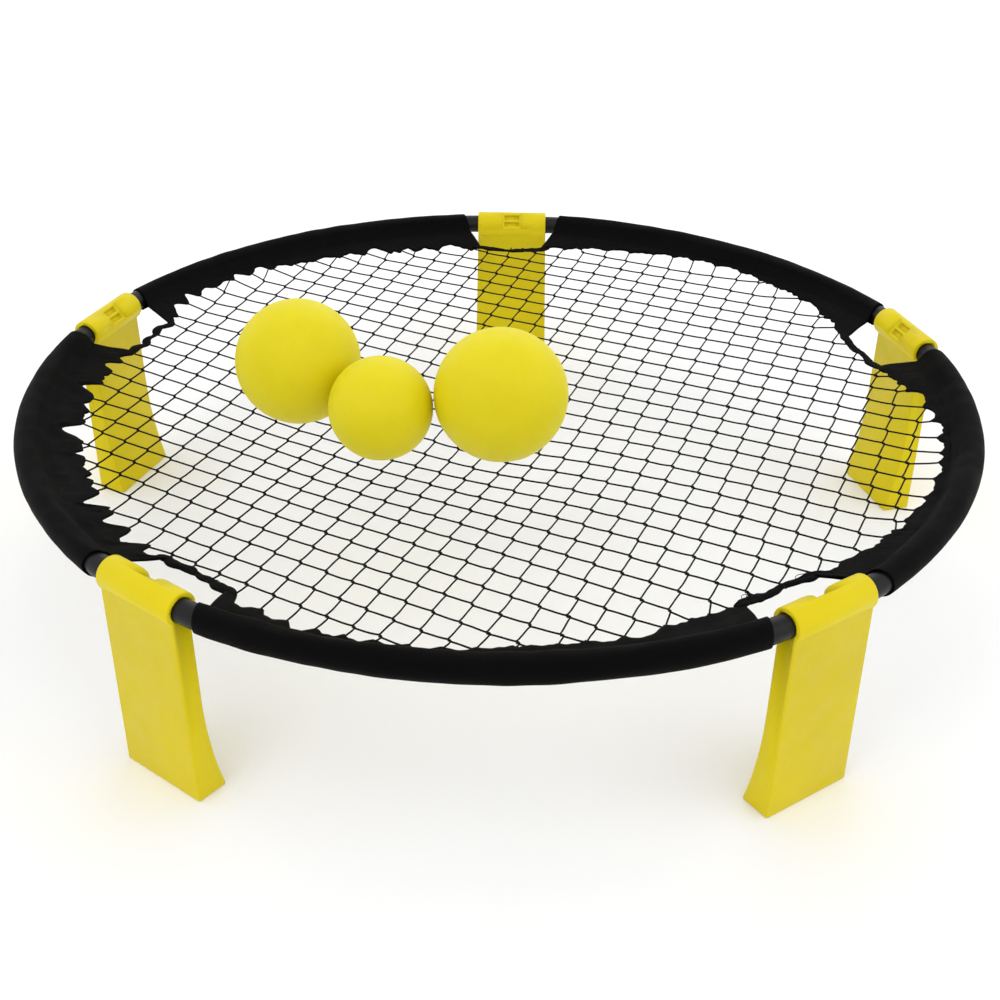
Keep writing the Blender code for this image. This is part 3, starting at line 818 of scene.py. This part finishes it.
def make_loose_threads(radius_at, thread):
    """Short loops of sewing thread that stand out where straps meet the sleeves."""
    rng = np.random.default_rng(97)
    lines = []
    for index in THREAD_LEGS:
        for _ in range(3):
            side = rng.choice((-1, 1))
            angle = leg_angle(index) + side * STRAP_HALF * rng.uniform(0.55, 1.15)
            inward, along = -unit(angle), unit(angle + math.pi / 2)
            root = (radius_at(angle) + 0.001) * unit(angle) + np.array([0, 0, NET_HEIGHT])
            t = np.linspace(0, 1, 18)
            reach, lift = rng.uniform(0.004, 0.009), rng.uniform(0.001, 0.0035)
            loop = np.outer(reach * np.sin(math.pi * t), inward)
            loop += np.outer(rng.uniform(0.3, 0.8) * reach * np.sin(2 * math.pi * t + 0.4), along)
            loop += np.outer(lift * np.sin(math.pi * t) ** 2, (0, 0, 1))
            lines.append(root + loop)
    points, quads, uv = sweep(np.array(lines), LOOSE_THREAD_RADIUS, 6)
    loops = link("loose_threads", mesh_of("loose_threads", points, quads, uv), thread)
    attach(loops, "rim_and_net")


# CAD nodes that stay


def finish_node(name, material):
    node = frame["nodes"][name]
    node.data.materials.clear()
    node.data.materials.append(material)
    weld = node.modifiers.new("weld", "WELD")
    weld.merge_threshold = 0.000001
    node.data.shade_smooth()


# Scene


def make_stage():
    bpy.ops.mesh.primitive_plane_add(size=40)
    floor = bpy.context.object
    floor.name = "floor"
    paint = Nodes("floor_white", (0.95, 0.95, 0.95), 0.8, Specular_IOR_Level=0.05)
    speckle = paint.noise(paint.place(), 3.0)
    paint.colour(paint.mix(paint.between(speckle, 0.3, 0.7), (0.945, 0.945, 0.945), (0.955, 0.955, 0.955)))
    floor.data.materials.append(paint.material)
    world = bpy.context.scene.world or bpy.data.worlds.new("studio")
    bpy.context.scene.world = world
    world.use_nodes = True
    background = world.node_tree.nodes["Background"]
    background.inputs["Color"].default_value = (1, 1, 1, 1)
    background.inputs["Strength"].default_value = 1.07


def add_light(name, location, size, power, target=(0, 0, 0.15)):
    light = bpy.data.lights.new(name, "AREA")
    light.shape = "DISK"
    light.size = size
    light.energy = power
    obj = bpy.data.objects.new(name, light)
    obj.location = location
    obj.rotation_mode = "QUATERNION"
    obj.rotation_quaternion = (Vector(target) - Vector(location)).to_track_quat("-Z", "Y")
    bpy.context.scene.collection.objects.link(obj)


def make_camera():
    """Camera by its azimuth, elevation and roll round a point on the ring's axis."""
    azimuth, elevation, roll = (math.radians(angle) for angle in (1.708, 31.395, -0.468))
    target, distance = Vector((0.0033, -0.0716, 0.1)), 1.380
    level = math.cos(elevation)
    back = Vector((math.sin(azimuth) * level, -math.cos(azimuth) * level, math.sin(elevation)))
    right = Vector((math.cos(azimuth), math.sin(azimuth), 0))
    up = back.cross(right)
    c, s = math.cos(roll), math.sin(roll)
    camera = bpy.data.objects.new("camera", bpy.data.cameras.new("camera"))
    camera.data.lens = 51.91
    camera.data.sensor_width = 36
    axes = Matrix((c * right - s * up, s * right + c * up, back)).transposed()
    camera.matrix_world = Matrix.Translation(target + distance * back) @ axes.to_4x4()
    bpy.context.scene.collection.objects.link(camera)
    bpy.context.scene.camera = camera


def main():
    bpy.context.scene.view_settings.view_transform = "Standard"
    make_camera()
    make_stage()
    add_light("key", (-1.2, -1.6, 2.6), 1.6, 9)
    add_light("fill", (2.2, -1.2, 1.8), 2.0, 7)
    add_light("back", (0.4, 2.4, 2.2), 1.8, 6)

    paint, plastic, twine = tube_paint(), leg_plastic(), twisted_cord()
    cloth = woven("sleeve_nylon", (0.0009, 0.0009, 0.0010), (0.0024, 0.0024, 0.0025), 0.00042)
    thread = woven("sleeve_thread", (0.004, 0.004, 0.004), (0.012, 0.012, 0.012), 0.0003)
    vinyl, rubber = ball_vinyl(), valve_rubber()

    places, knots, bars = make_lattice()
    ends = np.mod(np.arctan2(places[knots:, 1], places[knots:, 0]), 2 * math.pi)
    ends += END_SLIP / NET_EDGE * RNG.normal(0, 1, len(ends))
    ends, holes = gathered_ends(ends)
    places = relaxed(places, knots, bars, ends)
    radius_at = edge_profile(holes)
    make_net((places, knots, bars), twine)
    for index in range(LEG_COUNT):
        make_tube(index, paint)
        make_sleeve(index, radius_at, cloth, thread)
        make_strap(index, radius_at, cloth)
        finish_node(f"leg_{index + 1}", plastic)
    make_loose_threads(radius_at, thread)
    for name in ("left", "middle", "right"):
        make_ball(name, vinyl)
        finish_node(f"ball_valve_{name}", rubber)


main()
